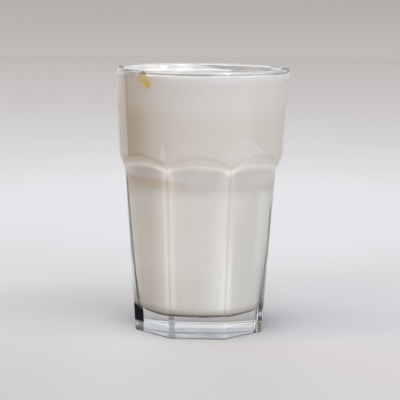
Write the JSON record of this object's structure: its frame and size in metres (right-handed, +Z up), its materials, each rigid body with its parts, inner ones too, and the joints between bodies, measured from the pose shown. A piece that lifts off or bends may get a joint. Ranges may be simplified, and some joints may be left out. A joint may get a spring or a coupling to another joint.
{
  "type": "glass of oat milk",
  "caption": "Pressed glass tumbler with flat sides, arched shoulders and a round rim, filled almost to the brim with pale oat milk, standing on its foot.",
  "frame": {"origin": "centre of the flat underside of the foot, where the glass stands on a table", "axes": "+Z up along the axis of the glass, -Y through the middle of the flat that faces the viewer, +X to the viewer's right"},
  "size_m": [0.086, 0.086, 0.13],
  "materials": {
    "clear_glass": "clear pressed glass, fire polished, faintly grey in the thick foot",
    "oat_milk": "opaque off-white drink with a wet, slightly glossy surface and a golden oat flake at its edge"
  },
  "bodies": {
    "root": {"glass": "clear_glass", "oat_milk": "oat_milk"}
  },
  "joints": []
}
